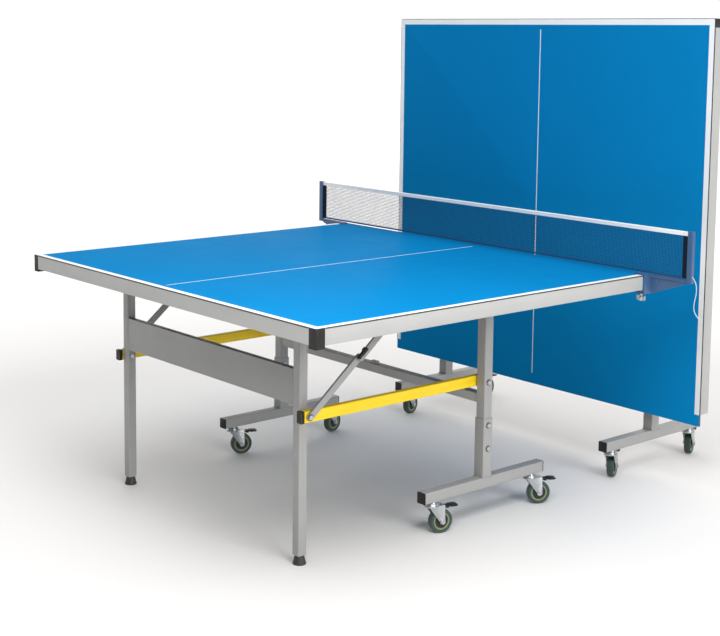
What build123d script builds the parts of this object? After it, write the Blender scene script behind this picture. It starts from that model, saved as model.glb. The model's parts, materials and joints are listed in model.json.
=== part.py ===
"""A folding table-tennis table: two separate halves, each on its own four-castor trolley.

Millimetres, +Z up, +X along the net, +Y from the near half to the far half. Each half is drawn
once, lowered, in its own frame: the net edge is at y = 0, the play end at -y, the floor at z = 0.
Right-hand pieces are drawn at +x and mirrored. The near half stands lowered. The far half is the
same half turned round, with its top folded upright, so its pieces are placed folded.
"""

import os
from math import acos, atan2, cos, degrees, hypot, radians, sin, tan

from build123d import *

os.makedirs("parts", exist_ok=True)

# Playing surface
HALF_LENGTH = 1370.0
TABLE_WIDTH = 1525.0
SURFACE_Z = 760.0
BOARD_THICK = 8.0
TONGUE = 40.0  # the board runs on this far past the side aprons, at the net edge

# Apron and the welded frame under the board
SHEET = 1.5
APRON_DEPTH = 47.0
LEDGE = 20.0
CORNER_REACH = 30.0
CORNER_DEPTH = 56.0
CHANNEL_W = 24.0
CHANNEL_H = 22.0
CHANNEL_WALL = 2.0
CHANNEL_X = 494.0
PLATE = 4.0

# Fold linkage: a parallelogram with its four pivots in one plane each side
POST_Y = -500.0
LEG_Y = -1182.0
TOP_PIVOT_Z = 706.0
BAR_PIVOT_Z = 440.0
PIN_D = 10.0
FIT = 0.05  # radial running fit
OPEN_FIT = 0.3  # radial clearance at the pivot where the loop is opened

# Trolley
TUBE = 35.0
TUBE_WALL = 2.0
TUBE_ROUND = 3.0
POST_X = 521.0
RAIL_LENGTH = 528.0
RAIL_Z = 102.0
SLEEVE = 40.0
SLEEVE_TOP = 325.0
SLEEVE_BOLTS = (229.0, 303.0)
BEAM = 30.0
BEAM_Z = 387.0
CAP_FLANGE = 3.0
CAP_PLUG = 18.0

# Legs, kick panel and levelling feet
LEG = 30.0
LEG_X = 460.0
FOOT_H = 27.0
FOOT_D = 39.0
FOOT_TOP_D = 28.0
STEM_D = 10.0
KICK_Z = (465.0, 570.0)

# Fold bars
BAR_W = 20.0
BAR_H = 34.0
BAR_X = 490.0
BAR_NOSE = 28.0
BAR_TAIL = 20.0

# Folding stays
STAY_Y = -860.0
STAY_H = 20.0
STAY_T = 8.0
STAY_LOWER_X = 505.0
STAY_UPPER_X = 514.0
STAY_DIFFERENCE = 45.0  # how much longer the lower link is than the upper
STUD_D = 8.0

# Castors
WHEEL_D = 75.0
WHEEL_W = 24.0
TYRE_DEPTH = 10.0
TRAIL = 30.0
AXLE_D = 8.0
FORK_GAP = 28.0
FORK_T = 2.5
CROWN_Z = 86.0
CASTOR_STEM_D = 12.0
CASTOR_INSET = 45.0
PEDAL_PIVOT = (24.0, 81.5)
PEDAL_REACH = 86.0

# Net set
NET_POST_X = 912.0
NET_PLANE_Y = 2.0
NET_TOP_Z = SURFACE_Z + 152.5
NET_LOW_Z = SURFACE_Z + 3.0
NET_THICK = 1.6
CLAMP_Y = -26.0
CLAMP_SCREW_X = 747.0
CORD_D = 2.5

# Where the halves stand: the far half is rolled in towards the net while its top is upright
NET_Y = 358.9
HALF_GAP = 12.0
ROLL_IN = 165.0

# Worked out from the driving dimensions
HALF_W = TABLE_WIDTH / 2
BOARD_X = HALF_W - SHEET
BOARD_END = HALF_LENGTH - SHEET
BOARD_LOW = SURFACE_Z - BOARD_THICK
APRON_LOW = SURFACE_Z - APRON_DEPTH
LINK = POST_Y - LEG_Y
DROP = TOP_PIVOT_Z - BAR_PIVOT_Z
RAIL_TOP = RAIL_Z + TUBE
STAY_RUN = STAY_Y - LEG_Y
STAY_SPAN = hypot(STAY_RUN, DROP)
STAY_LOWER = (STAY_SPAN + STAY_DIFFERENCE) / 2
STAY_UPPER = (STAY_SPAN - STAY_DIFFERENCE) / 2
STAY_RISE = degrees(atan2(DROP, STAY_RUN))
FOLDED_SPAN = STAY_RUN - DROP
KNEE_ANGLE = degrees(
    acos((STAY_LOWER**2 + FOLDED_SPAN**2 - STAY_UPPER**2) / (2 * STAY_LOWER * FOLDED_SPAN))
)
KNEE_Y = DROP + STAY_LOWER * cos(radians(KNEE_ANGLE)) - STAY_RUN
KNEE_Z = -STAY_LOWER * sin(radians(KNEE_ANGLE))
LOWER_SWING = STAY_RISE + KNEE_ANGLE
UPPER_SWING = 180 - STAY_RISE + degrees(atan2(KNEE_Z, KNEE_Y))


def block(x, y, z, mode=Mode.ADD):
    """A box between the two values given for each axis."""
    middle = tuple((a + b) / 2 for a, b in (x, y, z))
    with Locations(middle):
        Box(*(b - a for a, b in (x, y, z)), mode=mode)


def rod(axis, start, end, across, diameter, mode=Mode.ADD, end_diameter=None):
    """A round bar along an axis from start to end; across gives its other two coordinates."""
    turn = {"x": (0, 90, 0), "y": (-90, 0, 0), "z": (0, 0, 0)}[axis]
    middle = list(across)
    middle.insert("xyz".index(axis), (start + end) / 2)
    with Locations(Location(middle, turn)):
        if end_diameter is None:
            Cylinder(diameter / 2, end - start, mode=mode)
        else:
            Cone(diameter / 2, end_diameter / 2, end - start, mode=mode)


def tube(plane, length, width, height, wall=TUBE_WALL, rounding=TUBE_ROUND):
    """A rounded rectangular tube that starts on the plane and runs along its normal."""
    with BuildSketch(plane) as section:
        RectangleRounded(width, height, rounding)
        RectangleRounded(width - 2 * wall, height - 2 * wall, rounding - wall / 2, mode=Mode.SUBTRACT)
    extrude(section.sketch, amount=length)


def along(axis, origin):
    """The plane at origin whose normal is that axis."""
    normal = {"x": (1, 0, 0), "y": (0, 1, 0), "z": (0, 0, 1)}[axis]
    across = (0, 1, 0) if axis == "x" else (1, 0, 0)
    return Plane(origin=origin, x_dir=across, z_dir=normal)


def cross_bolt(head_x, nut_x, y, z, diameter=PIN_D, head=5.0, nut=5.0):
    """A bolt along X: the shank between two faces, a domed head past head_x and a nut past nut_x."""
    out = 1 if head_x > nut_x else -1
    rod("x", min(head_x, nut_x), max(head_x, nut_x), (y, z), diameter)
    with BuildSketch(along("x", (nut_x, y, z))) as hexagon:
        RegularPolygon(diameter * 0.92, 6)
    extrude(hexagon.sketch, amount=-out * nut)
    with BuildSketch(along("x", (head_x, y, z))) as dome:
        Circle(diameter * 0.85)
    extrude(dome.sketch, amount=out * head, taper=22)


def turned(y, z, angle):
    """The turn by angle about the X-parallel axis through (y, z)."""
    pivot = Location((0, y, z))
    return pivot * Location((0, 0, 0), (angle, 0, 0)) * pivot.inverse()


def write(piece, name, place):
    """The piece, put where it belongs in the table's frame, as its own STEP."""
    placed = piece.moved(place)
    placed.label = name
    export_step(placed, f"parts/{name}.step")


NEAR = Location((0, NET_Y, 0))
FAR = Location((0, NET_Y + HALF_GAP - ROLL_IN, 0), (0, 0, 180))
FOLD_TOP = turned(POST_Y, TOP_PIVOT_Z, -90)
FOLD_BARS = turned(POST_Y, BAR_PIVOT_Z, -90)
FOLD_LEGS = Location((0, LINK, LINK))
FOLD_LOWER_STAYS = FOLD_BARS * turned(LEG_Y, BAR_PIVOT_Z, -LOWER_SWING)
FOLD_UPPER_STAYS = FOLD_TOP * turned(STAY_Y, TOP_PIVOT_Z, UPPER_SWING)


def write_pair(piece, name, fold=None):
    """The piece once on the near half, lowered, and once on the far half, folded."""
    write(piece, "near_" + name, NEAR)
    write(piece, "far_" + name, FAR * fold if fold else FAR)


# Trolley: a base rail each side with a sleeve for the post
with BuildPart() as base_rails:
    rail_start = POST_Y - RAIL_LENGTH / 2 + CAP_FLANGE
    rail_run = RAIL_LENGTH - 2 * CAP_FLANGE
    tube(along("y", (POST_X, rail_start, RAIL_Z + TUBE / 2)), rail_run, TUBE, TUBE)
    sleeve_wall = (SLEEVE - TUBE) / 2 - 0.1
    tube(along("z", (POST_X, POST_Y, RAIL_TOP)), SLEEVE_TOP - RAIL_TOP, SLEEVE, SLEEVE, sleeve_wall)
    for reach in (-1, 1):
        stem_y = POST_Y + reach * (RAIL_LENGTH / 2 - CASTOR_INSET)
        rod("z", RAIL_Z - 1, RAIL_Z + 4, (POST_X, stem_y), CASTOR_STEM_D + 2 * FIT, Mode.SUBTRACT)
    for bolt_z in SLEEVE_BOLTS:
        rod("x", POST_X - TUBE, POST_X + TUBE, (POST_Y, bolt_z), PIN_D, Mode.SUBTRACT)
    mirror(about=Plane.YZ)
write_pair(base_rails.part, "base_rails")

with BuildPart() as rail_caps:
    plug = TUBE - 2 * TUBE_WALL
    for reach in (-1, 1):
        face_y = POST_Y + reach * (RAIL_LENGTH / 2 - CAP_FLANGE)
        with BuildSketch(along("y", (POST_X, face_y, RAIL_Z + TUBE / 2))):
            RectangleRounded(TUBE, TUBE, TUBE_ROUND)
        extrude(amount=reach * CAP_FLANGE)
        with BuildSketch(along("y", (POST_X, face_y, RAIL_Z + TUBE / 2))):
            RectangleRounded(plug, plug, TUBE_ROUND - TUBE_WALL / 2)
        extrude(amount=-reach * CAP_PLUG)
    mirror(about=Plane.YZ)
write_pair(rail_caps.part, "rail_caps")

# Two posts welded to a cross beam, with a rubber-faced rest in the middle of the beam
with BuildPart() as upright_frame:
    post_start = RAIL_TOP + 20
    post_top = TOP_PIVOT_Z + 14
    tube(along("z", (POST_X, POST_Y, post_start)), post_top - post_start, TUBE, TUBE)
    block(
        (POST_X - TUBE / 2 + 1, POST_X + TUBE / 2 - 1),
        (POST_Y - TUBE / 2 + 1, POST_Y + TUBE / 2 - 1),
        (post_top - 3, post_top),
    )
    for bolt_z in (*SLEEVE_BOLTS, BAR_PIVOT_Z, TOP_PIVOT_Z):
        rod("x", POST_X - TUBE, POST_X + TUBE, (POST_Y, bolt_z), PIN_D, Mode.SUBTRACT)
    mirror(about=Plane.YZ)
    inner_x = POST_X - TUBE / 2
    tube(along("x", (-inner_x, POST_Y, BEAM_Z)), 2 * inner_x, BEAM, BEAM)
    block((-14, 14), (POST_Y - 9, POST_Y + 9), (BEAM_Z + BEAM / 2, BEAM_Z + BEAM / 2 + 7))
write_pair(upright_frame.part, "upright_frame")

with BuildPart() as trolley_bolts:
    outer = POST_X + SLEEVE / 2
    for bolt_z in SLEEVE_BOLTS:
        cross_bolt(outer, POST_X - SLEEVE / 2, POST_Y, bolt_z)
    cross_bolt(POST_X + TUBE / 2, BAR_X - BAR_W / 2, POST_Y, BAR_PIVOT_Z)
    pivot_outer = POST_X + TUBE / 2 + 1.5 + PLATE
    cross_bolt(pivot_outer, POST_X - TUBE / 2, POST_Y, TOP_PIVOT_Z, nut=2.5)
    spacer_x = POST_X - TUBE / 2
    rod("x", BAR_X + BAR_W / 2 + 0.3, spacer_x, (POST_Y, BAR_PIVOT_Z), 20)
    mirror(about=Plane.YZ)
write_pair(trolley_bolts.part, "trolley_bolts")

# Top: the board, and the frame that carries it
with BuildPart() as board:
    with BuildSketch(Plane.XY.offset(BOARD_LOW)) as outline:
        with Locations((0, -BOARD_END / 2)):
            Rectangle(2 * BOARD_X, BOARD_END)
        fillet(outline.vertices().group_by(Axis.Y)[0], 4.5)
    extrude(amount=BOARD_THICK)
write_pair(board.part, "board", FOLD_TOP)

with BuildPart() as top_frame:
    apron_top = SURFACE_Z - 0.4
    side_run = (-(HALF_LENGTH - CORNER_REACH), -TONGUE)
    end_run = (-(HALF_W - CORNER_REACH), HALF_W - CORNER_REACH)
    ledges = ((APRON_LOW, APRON_LOW + SHEET), (BOARD_LOW - SHEET, BOARD_LOW))
    block((BOARD_X, HALF_W), side_run, (APRON_LOW, apron_top))
    for ledge in ledges:
        block((BOARD_X - LEDGE, BOARD_X), side_run, ledge)
    mirror(about=Plane.YZ)
    block(end_run, (-HALF_LENGTH, -BOARD_END), (APRON_LOW, apron_top))
    for ledge in ledges:
        block(end_run, (-BOARD_END, -BOARD_END + LEDGE), ledge)
    channel_z = (BOARD_LOW - CHANNEL_H, BOARD_LOW)
    hollow_z = (BOARD_LOW - CHANNEL_H + CHANNEL_WALL, BOARD_LOW)
    half_channel = CHANNEL_W / 2
    half_hollow = half_channel - CHANNEL_WALL
    long_run = (-BOARD_END + 3, -TONGUE)
    for side in (-1, 1):
        middle = side * CHANNEL_X
        block((middle - half_channel, middle + half_channel), long_run, channel_z)
    for cross_y in (POST_Y, LEG_Y):
        block((-BOARD_X + 3, BOARD_X - 3), (cross_y - half_channel, cross_y + half_channel), channel_z)
    for side in (-1, 1):
        middle = side * CHANNEL_X
        inner_run = (long_run[0] + LEDGE, long_run[1] - CHANNEL_WALL)
        block((middle - half_hollow, middle + half_hollow), inner_run, hollow_z, Mode.SUBTRACT)
    for cross_y in (POST_Y, LEG_Y):
        inner_run = (-BOARD_X + LEDGE + 3, BOARD_X - LEDGE - 3)
        block(inner_run, (cross_y - half_hollow, cross_y + half_hollow), hollow_z, Mode.SUBTRACT)
    for side in (-1, 1):
        plates = (
            (POST_X + TUBE / 2 + 1.5 + PLATE / 2, POST_Y, PIN_D),
            (LEG_X - LEG / 2 - 0.5 - PLATE / 2, LEG_Y, PIN_D),
            (LEG_X + LEG / 2 + 0.5 + PLATE / 2, LEG_Y, PIN_D),
            (STAY_UPPER_X + STAY_T / 2 + 1 + PLATE / 2, STAY_Y, STUD_D),
        )
        for plate_x, plate_y, hole in plates:
            with BuildSketch(along("x", (side * (plate_x - PLATE / 2), plate_y, TOP_PIVOT_Z))):
                Circle(16)
                with Locations((0, 13)):
                    Rectangle(32, 26)
                if hole == PIN_D:
                    Circle(hole / 2 + FIT, mode=Mode.SUBTRACT)
            extrude(amount=side * PLATE)
        stay_plate = STAY_UPPER_X + STAY_T / 2 + 1
        shelf_x = sorted((side * (CHANNEL_X + half_channel - 1), side * (stay_plate + PLATE)))
        block(shelf_x, (STAY_Y - 16, STAY_Y + 16), (channel_z[0], channel_z[0] + 3))
        stud_x = sorted((side * (STAY_UPPER_X - STAY_T / 2 - 0.3), side * (stay_plate + 1)))
        rod("x", *stud_x, (STAY_Y, TOP_PIVOT_Z), STUD_D)
write_pair(top_frame.part, "top_frame", FOLD_TOP)

with BuildPart() as corner_caps:
    cap_x = (HALF_W - CORNER_REACH, HALF_W)
    cap_y = (-HALF_LENGTH, -HALF_LENGTH + CORNER_REACH)
    cap_low = SURFACE_Z - CORNER_DEPTH
    block(cap_x, cap_y, (cap_low, SURFACE_Z - 0.4))
    fillet(corner_caps.edges().filter_by(Axis.Z).group_by(Axis.Y)[0].sort_by(Axis.X)[-1], 6)
    block((0, BOARD_X), (-BOARD_END, 0), (BOARD_LOW, SURFACE_Z), Mode.SUBTRACT)
    block((0, BOARD_X - 3), (-BOARD_END + 3, 0), (cap_low + 3, BOARD_LOW), Mode.SUBTRACT)
    mirror(about=Plane.YZ)
write_pair(corner_caps.part, "corner_caps", FOLD_TOP)

# End legs with the kick panel between them
with BuildPart() as end_legs:
    leg_low = FOOT_H + 0.5
    leg_top = TOP_PIVOT_Z + LEG / 2
    tube(along("z", (LEG_X, LEG_Y, leg_low)), leg_top - leg_low, LEG, LEG)
    leg_x = (LEG_X - LEG / 2 + 1, LEG_X + LEG / 2 - 1)
    leg_y = (LEG_Y - LEG / 2 + 1, LEG_Y + LEG / 2 - 1)
    block(leg_x, leg_y, (leg_low, leg_low + 5))
    block(leg_x, leg_y, (leg_top - 3, leg_top))
    rod("z", leg_low - 1, leg_low + 6, (LEG_X, LEG_Y), STEM_D + 2 * FIT, Mode.SUBTRACT)
    for pin_z in (BAR_PIVOT_Z, TOP_PIVOT_Z):
        rod("x", LEG_X - LEG, LEG_X + LEG, (LEG_Y, pin_z), PIN_D, Mode.SUBTRACT)
    mirror(about=Plane.YZ)
write_pair(end_legs.part, "end_legs", FOLD_LEGS)

with BuildPart() as kick_panel:
    panel_x = LEG_X - LEG / 2
    front_y = LEG_Y - LEG / 2 + 1
    block((-panel_x, panel_x), (front_y, front_y + SHEET), KICK_Z)
    for edge_z in (KICK_Z[0], KICK_Z[1] - SHEET):
        block((-panel_x, panel_x), (front_y, front_y + 20), (edge_z, edge_z + SHEET))
    for side in (-1, 1):
        tab = sorted((side * panel_x, side * (panel_x - SHEET)))
        block(tab, (front_y, front_y + 20), KICK_Z)
write_pair(kick_panel.part, "kick_panel", FOLD_LEGS)

with BuildPart() as leg_bolts:
    stay_face = STAY_LOWER_X + STAY_T / 2
    cross_bolt(stay_face + 0.5, LEG_X - LEG / 2, LEG_Y, BAR_PIVOT_Z, head=4)
    plate_face = LEG / 2 + 0.5 + PLATE
    cross_bolt(LEG_X + plate_face, LEG_X - plate_face, LEG_Y, TOP_PIVOT_Z)
    rod("x", LEG_X + LEG / 2, BAR_X - BAR_W / 2 - 0.3, (LEG_Y, BAR_PIVOT_Z), 20)
    mirror(about=Plane.YZ)
write_pair(leg_bolts.part, "leg_bolts", FOLD_LEGS)

for side_name, side in (("left", -1), ("right", 1)):
    with BuildPart() as foot:
        foot_x = side * LEG_X
        rod("z", 0, 6, (foot_x, LEG_Y), FOOT_D)
        rod("z", 6, FOOT_H, (foot_x, LEG_Y), FOOT_D - 2, end_diameter=FOOT_TOP_D)
        rod("z", FOOT_H, FOOT_H + 40, (foot_x, LEG_Y), STEM_D)
    write(foot.part, f"near_{side_name}_foot", NEAR)
    far_side = "right" if side_name == "left" else "left"
    write(foot.part, f"far_{far_side}_foot", FAR * FOLD_LEGS)

# Fold bars: a flat oval-edged tube each side, closed with a plug at both ends
with BuildPart() as fold_bars:
    bar_start = LEG_Y - BAR_NOSE + CAP_FLANGE
    bar_run = LINK + BAR_NOSE + BAR_TAIL - 2 * CAP_FLANGE
    tube(along("y", (BAR_X, bar_start, BAR_PIVOT_Z)), bar_run, BAR_W, BAR_H)
    rod("x", BAR_X - BAR_W, BAR_X + BAR_W, (LEG_Y, BAR_PIVOT_Z), PIN_D + 2 * OPEN_FIT, Mode.SUBTRACT)
    rod("x", BAR_X - BAR_W, BAR_X + BAR_W, (POST_Y, BAR_PIVOT_Z), PIN_D + 2 * FIT, Mode.SUBTRACT)
    mirror(about=Plane.YZ)
with BuildPart() as bar_plugs:
    for face_y, out in ((bar_start, -1), (bar_start + bar_run, 1)):
        with BuildSketch(along("y", (BAR_X, face_y, BAR_PIVOT_Z))):
            RectangleRounded(BAR_W, BAR_H, TUBE_ROUND)
        extrude(amount=out * CAP_FLANGE)
        with BuildSketch(along("y", (BAR_X, face_y, BAR_PIVOT_Z))):
            RectangleRounded(BAR_W - 2 * TUBE_WALL, BAR_H - 2 * TUBE_WALL, 2)
        extrude(amount=-out * 7)
    mirror(about=Plane.YZ)
bars_and_plugs = Compound(children=[*fold_bars.part.solids(), *bar_plugs.part.solids()])
write_pair(bars_and_plugs, "fold_bars", FOLD_BARS)


def stay_link(x, y, z, rise, length, thick, hole):
    """A round-ended strap in the plane at x, from (y, z) at that rise, with a hole at its start."""
    plane = Plane(
        origin=(x - thick / 2, y, z),
        x_dir=(0, cos(radians(rise)), sin(radians(rise))),
        z_dir=(1, 0, 0),
    )
    with BuildSketch(plane) as strap:
        with Locations((length / 2, 0)):
            SlotCenterToCenter(length, STAY_H)
        Circle(hole / 2, mode=Mode.SUBTRACT)
    extrude(strap.sketch, amount=thick)


# Folding stays: a lower link on the leg bolt and an upper link under the frame, meeting at a knee
knee_y = LEG_Y + STAY_LOWER * cos(radians(STAY_RISE))
knee_z = BAR_PIVOT_Z + STAY_LOWER * sin(radians(STAY_RISE))
with BuildPart() as lower_stays:
    stay_link(STAY_LOWER_X, LEG_Y, BAR_PIVOT_Z, STAY_RISE, STAY_LOWER, STAY_T, PIN_D + 2 * FIT)
    mirror(about=Plane.YZ)
write_pair(lower_stays.part, "lower_stays", FOLD_LOWER_STAYS)

with BuildPart() as upper_stays:
    hole = STUD_D + 2 * FIT
    stay_link(STAY_UPPER_X, STAY_Y, TOP_PIVOT_Z, STAY_RISE + 180, STAY_UPPER, STAY_T, hole)
    rod("x", STAY_UPPER_X + STAY_T / 2, STAY_UPPER_X + STAY_T / 2 + 3, (knee_y, knee_z), 14)
    mirror(about=Plane.YZ)
write_pair(upper_stays.part, "upper_stays", FOLD_UPPER_STAYS)

with BuildPart() as stay_latches:
    latch_plane = Plane(
        origin=(STAY_UPPER_X + STAY_T / 2, knee_y, knee_z),
        x_dir=(0, cos(radians(STAY_RISE)), sin(radians(STAY_RISE))),
        z_dir=(1, 0, 0),
    )
    with BuildSketch(latch_plane):
        with Locations((9, 10.5)):
            RectangleRounded(42, 9, 3)
        Circle(7.5, mode=Mode.SUBTRACT)
    extrude(amount=8)
    with BuildSketch(latch_plane):
        with Locations((20, 16)):
            RectangleRounded(14, 7, 3)
    extrude(amount=5)
    mirror(about=Plane.YZ)
write_pair(stay_latches.part, "stay_latches", FOLD_UPPER_STAYS)

# Castor, in its own frame: the swivel axis is Z and the wheel trails towards +X
AXLE_Z = WHEEL_D / 2
with BuildPart() as castor_fork:
    for side in (-1, 1):
        cheek_y = side * FORK_GAP / 2
        with BuildSketch(Plane(origin=(0, cheek_y, 0), x_dir=(1, 0, 0), z_dir=(0, -1, 0))):
            with BuildLine():
                Polyline((-15, CROWN_Z), (38, CROWN_Z), (TRAIL + 9, AXLE_Z), (TRAIL - 9, AXLE_Z), close=True)
            make_face()
            with Locations((TRAIL, AXLE_Z)):
                Circle(9)
        extrude(amount=-side * FORK_T)
    block((-15, 38), (-FORK_GAP / 2 - FORK_T, FORK_GAP / 2 + FORK_T), (CROWN_Z, CROWN_Z + FORK_T))
    rod("z", CROWN_Z, CROWN_Z + FORK_T, (0, 0), 46)
    rod("z", CROWN_Z + FORK_T, RAIL_Z - 0.5, (0, 0), 40, end_diameter=30)
    rod("z", RAIL_Z - 2, RAIL_Z + 24, (0, 0), CASTOR_STEM_D)
    grip = FORK_GAP / 2 + FORK_T
    rod("y", -grip - 4, grip + 4, (TRAIL, AXLE_Z), AXLE_D)
    for side in (-1, 1):
        face = sorted((side * grip, side * (grip + 5)))
        rod("y", *face, (TRAIL, AXLE_Z), 14)
    rod("y", -grip, grip, PEDAL_PIVOT, 5)

with BuildPart() as castor_hub:
    hub_d = WHEEL_D - 2 * TYRE_DEPTH
    rod("y", -WHEEL_W / 2 + 3, WHEEL_W / 2 - 3, (TRAIL, AXLE_Z), hub_d)
    rod("y", -WHEEL_W / 2 - 1, WHEEL_W / 2 + 1, (TRAIL, AXLE_Z), 20)
    rod("y", -WHEEL_W, WHEEL_W, (TRAIL, AXLE_Z), AXLE_D + 2 * FIT, Mode.SUBTRACT)
with BuildPart() as castor_tyre:
    with BuildSketch(Plane(origin=(TRAIL, 0, AXLE_Z), x_dir=(1, 0, 0), z_dir=(0, -1, 0))):
        Circle(WHEEL_D / 2)
        Circle(hub_d / 2, mode=Mode.SUBTRACT)
    extrude(amount=WHEEL_W / 2, both=True)
    rim = castor_tyre.edges().filter_by(GeomType.CIRCLE).group_by(SortBy.RADIUS)[-1]
    fillet(rim, 4)
castor_wheel = Compound(children=[castor_hub.part.solid(), castor_tyre.part.solid()])

with BuildPart() as castor_pedal:
    pedal_x, pedal_z = PEDAL_PIVOT
    block((pedal_x - 5, 62), (-11, 11), (pedal_z - 1.8, pedal_z + 2.2))
    block((60, PEDAL_REACH), (-16, 16), (pedal_z - 1.8, pedal_z + 2.2))
    fillet(castor_pedal.edges().filter_by(Axis.Z).group_by(Axis.X)[-1], 8)
    rod("y", -11, 11, PEDAL_PIVOT, 8.6)
    block((46, 56), (-10, 10), (76, pedal_z))
    rod("y", -12, 12, PEDAL_PIVOT, 5 + 2 * FIT, Mode.SUBTRACT)


def write_castors():
    """Eight castors, each swivelled its own way; the two on the far inner ends have no brake."""
    reach = RAIL_LENGTH / 2 - CASTOR_INSET
    near_y = NET_Y + POST_Y
    far_y = NET_Y + HALF_GAP - ROLL_IN - POST_Y
    castors = (
        ("near_right_end", POST_X, near_y - reach, 75, True),
        ("near_right_net", POST_X, near_y + reach, 62, True),
        ("near_left_end", -POST_X, near_y - reach, 68, True),
        ("near_left_net", -POST_X, near_y + reach, 100, False),
        ("far_right_net", POST_X, far_y - reach, 116, True),
        ("far_right_end", POST_X, far_y + reach, 114, True),
        ("far_left_net", -POST_X, far_y - reach, 104, False),
        ("far_left_end", -POST_X, far_y + reach, 100, True),
    )
    for name, x, y, angle, braked in castors:
        place = Location((x, y, 0), (0, 0, angle))
        write(castor_fork.part, name + "_castor_fork", place)
        write(castor_wheel, name + "_castor_wheel", place)
        if braked:
            write(castor_pedal.part, name + "_castor_pedal", place)


write_castors()

# Net set, clamped on the near half's net edge
POST_HALF_X = 9.0
POST_HALF_Y = 7.0
WEB_X = HALF_W + 1.5
JAW = 4.0
JAW_LOW = 700.0
with BuildPart() as net_posts:
    inner_post = NET_POST_X - POST_HALF_X
    arm_z = (SURFACE_Z - 9, SURFACE_Z + 1)
    post_y = (NET_PLANE_Y - POST_HALF_Y, NET_PLANE_Y + POST_HALF_Y)
    web_y = (CLAMP_Y - 12, NET_PLANE_Y + 2)
    block((inner_post, NET_POST_X + POST_HALF_X), post_y, (arm_z[0], NET_TOP_Z + 1.5))
    block((WEB_X, inner_post), (NET_PLANE_Y - 5, NET_PLANE_Y + 5), arm_z)
    block((WEB_X, WEB_X + JAW), web_y, (JAW_LOW, SURFACE_Z + 1))
    jaw_y = (CLAMP_Y - 12, CLAMP_Y + 12)
    block((WEB_X - 36, WEB_X + JAW), jaw_y, (SURFACE_Z + 0.3, SURFACE_Z + 0.3 + JAW))
    block((WEB_X - 32, WEB_X + JAW), jaw_y, (JAW_LOW, JAW_LOW + JAW))
    with BuildSketch(Plane(origin=(0, NET_PLANE_Y - 1.5, 0), x_dir=(1, 0, 0), z_dir=(0, -1, 0))):
        with BuildLine():
            Polyline(
                (WEB_X + 1, arm_z[0] + 1),
                (WEB_X + 1, JAW_LOW),
                (WEB_X + JAW + 2, JAW_LOW),
                (inner_post + 1, arm_z[0] - 3),
                (inner_post + 1, arm_z[0] + 1),
                close=True,
            )
        make_face()
    extrude(amount=-3)
    screw_hole = STUD_D + 2 * FIT
    rod("z", JAW_LOW - 2, JAW_LOW + 6, (CLAMP_SCREW_X, CLAMP_Y), screw_hole, Mode.SUBTRACT)
    mirror(about=Plane.YZ)
write(net_posts.part, "net_posts", NEAR)

for side_name, side in (("left", -1), ("right", 1)):
    with BuildPart() as clamp_screw:
        centre = (side * CLAMP_SCREW_X, CLAMP_Y)
        rod("z", JAW_LOW - 18, BOARD_LOW - 5, centre, STUD_D)
        rod("z", BOARD_LOW - 5, BOARD_LOW - 0.4, centre, 18)
        rod("z", JAW_LOW - 24, JAW_LOW - 12, centre, 14)
        wing_x = (centre[0] - 16, centre[0] + 16)
        block(wing_x, (CLAMP_Y - 2.5, CLAMP_Y + 2.5), (JAW_LOW - 24, JAW_LOW - 8))
        fillet(clamp_screw.edges().filter_by(Axis.Y).group_by(Axis.Z)[0], 5)
    write(clamp_screw.part, f"net_clamp_screw_{side_name}", NEAR)

with BuildPart() as net:
    block(
        (-NET_POST_X + POST_HALF_X + 0.5, NET_POST_X - POST_HALF_X - 0.5),
        (NET_PLANE_Y - NET_THICK / 2, NET_PLANE_Y + NET_THICK / 2),
        (NET_LOW_Z, NET_TOP_Z),
    )
write(net.part, "net", NEAR)

# The loose tail of the net's tension cord, from the foot of the right post to its knot
CORD_ROUTE = (
    (920, 2, 772),
    (932, 2, 761),
    (938, 2.5, 741),
    (937, 2, 716),
    (931, 1.5, 692),
    (930, 2, 669),
    (940, 2.5, 652),
    (953, 3, 641),
)


def corner_radius(before, at, after):
    """The largest arc that leaves a tenth of the shorter run straight at each end."""
    turn = radians((at - before).get_angle(after - at))
    return 0.45 * min((at - before).length, (after - at).length) / tan(turn / 2)


cord_points = [Vector(*point) for point in CORD_ROUTE]
cord_radii = [corner_radius(*cord_points[i : i + 3]) for i in range(len(cord_points) - 2)]
print("cord radii", [round(radius, 1) for radius in cord_radii])
with BuildPart() as net_cord:
    with BuildLine() as cord_path:
        FilletPolyline(*cord_points, radius=cord_radii)
    start = cord_path.line @ 0
    with BuildSketch(Plane(origin=start, z_dir=cord_path.line % 0)):
        Circle(CORD_D / 2)
    sweep()
cord_length = sum(edge.length for edge in cord_path.edges())
print("cord length", round(cord_length, 1), "volume", round(net_cord.part.volume, 1))
print("cord section times length", round(cord_length * 3.14159 * CORD_D**2 / 4, 1))
write(net_cord.part, "net_cord", NEAR)

with BuildPart() as net_cord_knot:
    with Locations(cord_points[-1] + (cord_points[-1] - cord_points[-2]).normalized() * 2.8):
        Sphere(3.0)
    tip = cord_points[-1]
    with BuildSketch(Plane(origin=tip, z_dir=cord_path.line % 1)):
        Rectangle(9, 9)
    extrude(amount=-4, mode=Mode.SUBTRACT)
write(net_cord_knot.part, "net_cord_knot", NEAR)

print("stay swing, degrees: lower", round(LOWER_SWING, 3), "upper", round(UPPER_SWING, 3))
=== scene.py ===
"""The looks of a folding table-tennis table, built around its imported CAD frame.

Metres, +Z up, +X along the net, +Y from the lowered half to the upright half. Pieces of a half
are drawn lowered, with the net edge at y = 0 and the play end at -y, and then placed on it.
"""

import json
import random
from math import cos, pi, radians, sin

import bmesh
import bpy
from mathutils import Matrix, Vector


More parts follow.
